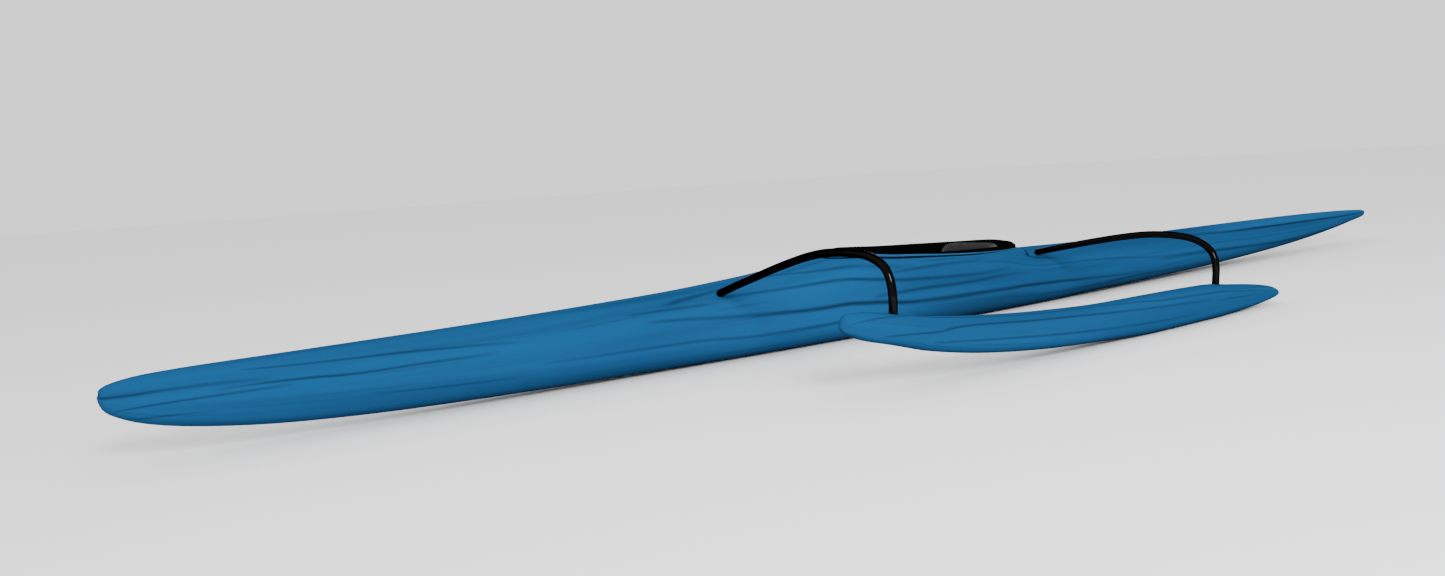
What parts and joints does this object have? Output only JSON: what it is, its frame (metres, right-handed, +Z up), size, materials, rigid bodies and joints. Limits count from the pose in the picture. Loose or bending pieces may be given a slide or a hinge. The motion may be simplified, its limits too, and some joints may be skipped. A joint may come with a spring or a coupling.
{
  "type": "outrigger canoe",
  "caption": "Long decked single-seat canoe hull with an open cockpit, joined by bent tube arms to a slim side float.",
  "frame": {"origin": "middle of the outline seen from above, at the height of the lowest point of hull and float", "axes": "+X toward the bow, +Y toward the float on the port side, +Z up"},
  "size_m": [7.3, 1.2401, 0.4348],
  "materials": {
    "hull_bow": "satin blue gelcoat with dark streaks",
    "hull_mid_front": "satin blue gelcoat with dark streaks",
    "hull_mid_centre": "satin blue gelcoat with dark streaks",
    "hull_mid_rear": "satin blue gelcoat with dark streaks",
    "hull_quarter": "satin blue gelcoat with dark streaks",
    "hull_stern": "satin blue gelcoat with dark streaks",
    "hull_tail": "satin blue gelcoat with dark streaks",
    "deck_bow": "satin blue gelcoat with dark streaks",
    "deck_front": "satin blue gelcoat with dark streaks",
    "deck_fore": "satin blue gelcoat with dark streaks",
    "deck_port": "satin blue gelcoat with dark streaks",
    "deck_starboard": "satin blue gelcoat with dark streaks",
    "deck_aft": "satin blue gelcoat with dark streaks",
    "deck_stern": "satin blue gelcoat with dark streaks",
    "rim_fore": "satin black",
    "rim_port": "satin black",
    "rim_starboard": "satin black",
    "rim_aft": "satin black",
    "seat": "satin dark grey",
    "seat_pad": "closed-cell foam",
    "foot_brace": "dark grey",
    "brace_rail_port": "extruded",
    "brace_rail_starboard": "extruded",
    "arm_front": "satin black",
    "arm_rear": "satin black",
    "float_body": "satin blue gelcoat with dark streaks"
  },
  "bodies": {
    "root": {"hull_bow": "hull_bow", "hull_mid_front": "hull_mid_front", "hull_mid_centre": "hull_mid_centre", "hull_mid_rear": "hull_mid_rear", "hull_quarter": "hull_quarter", "hull_stern": "hull_stern", "hull_tail": "hull_tail", "deck_bow": "deck_bow", "deck_front": "deck_front", "deck_fore": "deck_fore", "deck_port": "deck_port", "deck_starboard": "deck_starboard", "deck_aft": "deck_aft", "deck_stern": "deck_stern", "rim_fore": "rim_fore", "rim_port": "rim_port", "rim_starboard": "rim_starboard", "rim_aft": "rim_aft", "seat": "seat", "seat_pad": "seat_pad", "foot_brace": "foot_brace", "brace_rail_port": "brace_rail_port", "brace_rail_starboard": "brace_rail_starboard", "arm_front": "arm_front", "arm_rear": "arm_rear", "float_body": "float_body"}
  },
  "joints": []
}
